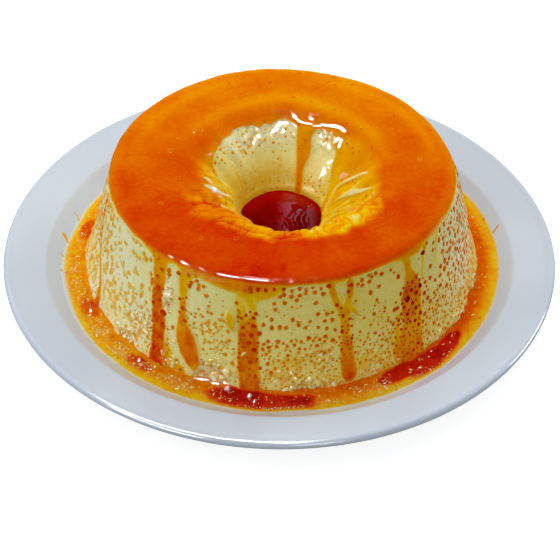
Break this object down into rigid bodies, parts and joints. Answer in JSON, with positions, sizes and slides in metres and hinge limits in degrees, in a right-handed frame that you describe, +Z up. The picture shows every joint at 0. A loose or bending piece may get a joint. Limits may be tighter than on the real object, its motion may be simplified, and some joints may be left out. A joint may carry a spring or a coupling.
{
  "type": "creme caramel flan on a plate",
  "caption": "Ring-shaped set custard turned out on a round white plate, with caramel over its top, down its wall, round its foot and in its hole.",
  "frame": {"origin": "centre of the plate's foot ring, on the table", "axes": "+Z up; the front of the dish, with its widest run of caramel, faces -Y, and +X is to the right seen from the front"},
  "size_m": [0.28, 0.28, 0.0691],
  "materials": {
    "white_glaze": "smooth clear-glazed white porcelain, glossy",
    "custard": "moist pale yellow set custard, satin, with small pits",
    "caramel": "wet glossy orange caramel glaze",
    "dark_caramel": "wet glossy amber to red-brown caramel sauce"
  },
  "bodies": {
    "root": {"plate": "white_glaze", "flan": "custard", "caramel_top": "caramel", "caramel_pool": "dark_caramel", "caramel_in_hole": "dark_caramel"}
  },
  "joints": []
}
